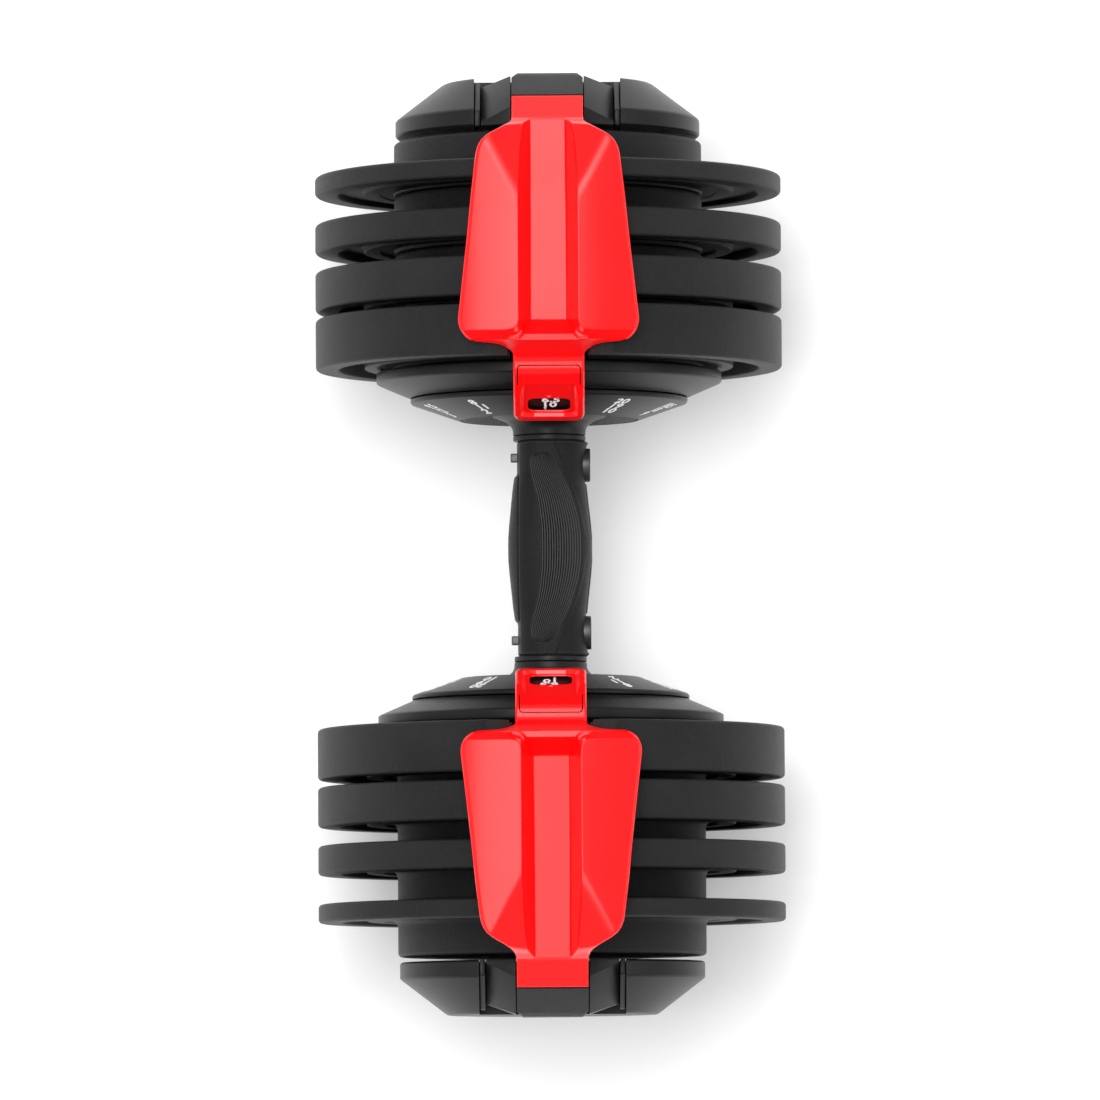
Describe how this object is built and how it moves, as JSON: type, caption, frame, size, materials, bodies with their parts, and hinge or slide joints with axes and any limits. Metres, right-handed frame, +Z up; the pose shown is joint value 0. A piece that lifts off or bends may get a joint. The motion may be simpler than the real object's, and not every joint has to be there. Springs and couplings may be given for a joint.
{
  "type": "adjustable dumbbell",
  "caption": "Adjustable dumbbell: ribbed grip between two dial-operated heads of nested round plates, each head under a red bridge with a reading window.",
  "frame": {"origin": "on the floor under the middle of the handle", "axes": "+X along the handle towards the right head, +Z up, +Y across the handle to the side where the buttons' pins come out"},
  "size_m": [0.4018, 0.2, 0.2063],
  "materials": {
    "plate_black": "black powder coat with a fine sand texture",
    "shell_black": "satin moulded plastic",
    "dial_black": "smooth satin plastic, white numbers",
    "grip_rubber": "soft-touch moulded rubber, ribbed thumb band",
    "bridge_red": "gloss red",
    "steel": "bright zinc",
    "selector_plastic": "moulded nylon",
    "spring_steel": "bright wire"
  },
  "bodies": {
    "plate_right_1": {"plate_right_1": "plate_black"},
    "handle": {"axle": "steel", "handle_core": "shell_black", "grip": "grip_rubber", "axle_screws": "steel", "bridge_screws": "steel", "thrust_washers": "steel", "hub_collar_right": "shell_black", "inner_flange_right": "shell_black", "end_cap_right": "shell_black", "bridge_right": "bridge_red", "window_cover_right": "bridge_red", "button_spring_right": "spring_steel", "hub_collar_left": "shell_black", "inner_flange_left": "shell_black", "end_cap_left": "shell_black", "bridge_left": "bridge_red", "window_cover_left": "bridge_red", "button_spring_left": "spring_steel"},
    "plate_right_2": {"plate_right_2": "plate_black"},
    "plate_right_3": {"plate_right_3": "plate_black"},
    "plate_right_4": {"plate_right_4": "plate_black"},
    "dial_right": {"selector_dial_right": "dial_black", "selector_sleeve_right": "selector_plastic", "selector_disc_right_1": "selector_plastic", "selector_disc_right_2": "selector_plastic", "selector_disc_right_3": "selector_plastic", "selector_disc_right_4": "selector_plastic"},
    "button_right": {"release_button_right": "shell_black"},
    "plate_left_1": {"plate_left_1": "plate_black"},
    "plate_left_2": {"plate_left_2": "plate_black"},
    "plate_left_3": {"plate_left_3": "plate_black"},
    "plate_left_4": {"plate_left_4": "plate_black"},
    "dial_left": {"selector_dial_left": "dial_black", "selector_sleeve_left": "selector_plastic", "selector_disc_left_1": "selector_plastic", "selector_disc_left_2": "selector_plastic", "selector_disc_left_3": "selector_plastic", "selector_disc_left_4": "selector_plastic"},
    "button_left": {"release_button_left": "shell_black"}
  },
  "joints": [
    {"name": "handle_lift", "type": "slide", "parent": "plate_right_1", "child": "handle", "axis": [0, 0, 1], "range_m": [0, 0.21]},
    {"name": "plate_right_2_stays", "type": "slide", "parent": "handle", "child": "plate_right_2", "axis": [0, 0, -1], "range_m": [0, 0.21]},
    {"name": "plate_right_3_stays", "type": "slide", "parent": "handle", "child": "plate_right_3", "axis": [0, 0, -1], "range_m": [0, 0.21]},
    {"name": "plate_right_4_stays", "type": "slide", "parent": "handle", "child": "plate_right_4", "axis": [0, 0, -1], "range_m": [0, 0.21]},
    {"name": "plate_left_1_stays", "type": "slide", "parent": "handle", "child": "plate_left_1", "axis": [0, 0, -1], "range_m": [0, 0.21]},
    {"name": "plate_left_2_stays", "type": "slide", "parent": "handle", "child": "plate_left_2", "axis": [0, 0, -1], "range_m": [0, 0.21]},
    {"name": "plate_left_3_stays", "type": "slide", "parent": "handle", "child": "plate_left_3", "axis": [0, 0, -1], "range_m": [0, 0.21]},
    {"name": "plate_left_4_stays", "type": "slide", "parent": "handle", "child": "plate_left_4", "axis": [0, 0, -1], "range_m": [0, 0.21]},
    {"name": "dial_right_turn", "type": "hinge", "parent": "handle", "child": "dial_right", "pos_m": [0.06, 0, 0.095], "axis": [1, 0, 0], "continuous": true},
    {"name": "dial_left_turn", "type": "hinge", "parent": "handle", "child": "dial_left", "pos_m": [-0.06, 0, 0.095], "axis": [-1, 0, 0], "continuous": true},
    {"name": "button_right_press", "type": "slide", "parent": "handle", "child": "button_right", "axis": [0, 1, 0], "range_m": [0, 0.0025], "stiffness_N_per_m": 600, "springref_m": -0.002, "deforming": ["button_spring_right"]},
    {"name": "button_left_press", "type": "slide", "parent": "handle", "child": "button_left", "axis": [0, 1, 0], "range_m": [0, 0.0025], "stiffness_N_per_m": 600, "springref_m": -0.002, "deforming": ["button_spring_left"]}
  ],
  "couplings": [
    {"joint": "plate_right_2_stays", "follows": "handle_lift", "ratio": 1},
    {"joint": "plate_right_3_stays", "follows": "handle_lift", "ratio": 1},
    {"joint": "plate_right_4_stays", "follows": "handle_lift", "ratio": 1},
    {"joint": "plate_left_1_stays", "follows": "handle_lift", "ratio": 1},
    {"joint": "plate_left_2_stays", "follows": "handle_lift", "ratio": 1},
    {"joint": "plate_left_3_stays", "follows": "handle_lift", "ratio": 1},
    {"joint": "plate_left_4_stays", "follows": "handle_lift", "ratio": 1}
  ]
}
